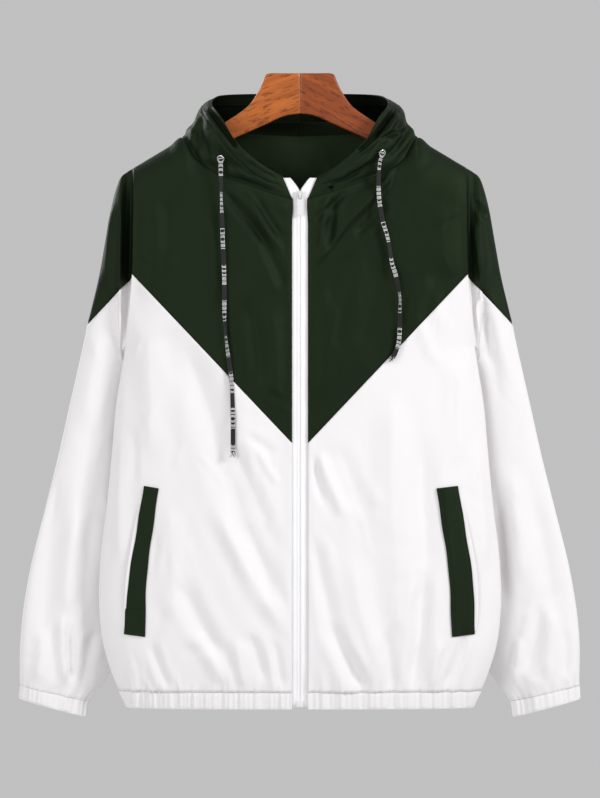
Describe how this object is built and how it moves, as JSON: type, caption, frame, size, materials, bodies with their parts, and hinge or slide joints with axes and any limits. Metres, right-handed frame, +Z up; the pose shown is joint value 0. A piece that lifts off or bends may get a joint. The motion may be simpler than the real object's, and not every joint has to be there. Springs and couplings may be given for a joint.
{
  "type": "hooded windbreaker jacket on a wooden hanger",
  "caption": "Zip-front hooded windbreaker with chevron colour block, elastic hem and cuffs, welt pockets and drawstrings, hung on a wooden hanger.",
  "frame": {"origin": "middle of the hanger's flat top, where its hook would stand", "axes": "+Z up; the jacket's front faces -Y; +X is the wearer's left, seen on the right from the front"},
  "size_m": [0.6432, 0.1544, 0.7391],
  "materials": {
    "green_cloth": "thin plain-woven polyester with a faint sheen",
    "white_cloth": "thin plain-woven polyester, matt",
    "zip_tape": "woven zip tape with a nylon coil",
    "lacquered_metal": "white lacquer on zinc",
    "nickel": "nickel plate",
    "woven_tape": "black woven tape with small white bars",
    "light_wood": "orange-brown varnish",
    "dark_wood": "red-brown varnish"
  },
  "bodies": {
    "jacket": {"front_yoke_left": "green_cloth", "front_yoke_right": "green_cloth", "back_yoke": "green_cloth", "sleeve_cap_left": "green_cloth", "sleeve_cap_right": "green_cloth", "hood_left": "green_cloth", "hood_right": "green_cloth", "hood_facing_left": "green_cloth", "hood_facing_right": "green_cloth", "welt_left": "green_cloth", "welt_right": "green_cloth", "front_body_left": "white_cloth", "front_body_right": "white_cloth", "back_body": "white_cloth", "sleeve_left": "white_cloth", "sleeve_right": "white_cloth", "cuff_left": "white_cloth", "cuff_right": "white_cloth", "hem_front_left": "white_cloth", "hem_front_right": "white_cloth", "hem_back": "white_cloth", "zip_tape_left": "zip_tape", "zip_tape_right": "zip_tape", "zip_slider": "lacquered_metal", "eyelet_left": "nickel", "eyelet_right": "nickel", "drawstring_left": "woven_tape", "drawstring_right": "woven_tape", "hanger_left": "light_wood", "hanger_right": "dark_wood"},
    "pull": {"zip_pull": "lacquered_metal"}
  },
  "joints": [
    {"name": "pull_hinge", "type": "hinge", "parent": "jacket", "child": "pull", "pos_m": [0, -0.0327, -0.141], "axis": [-1, 0, 0], "range_deg": [0, 165]}
  ]
}
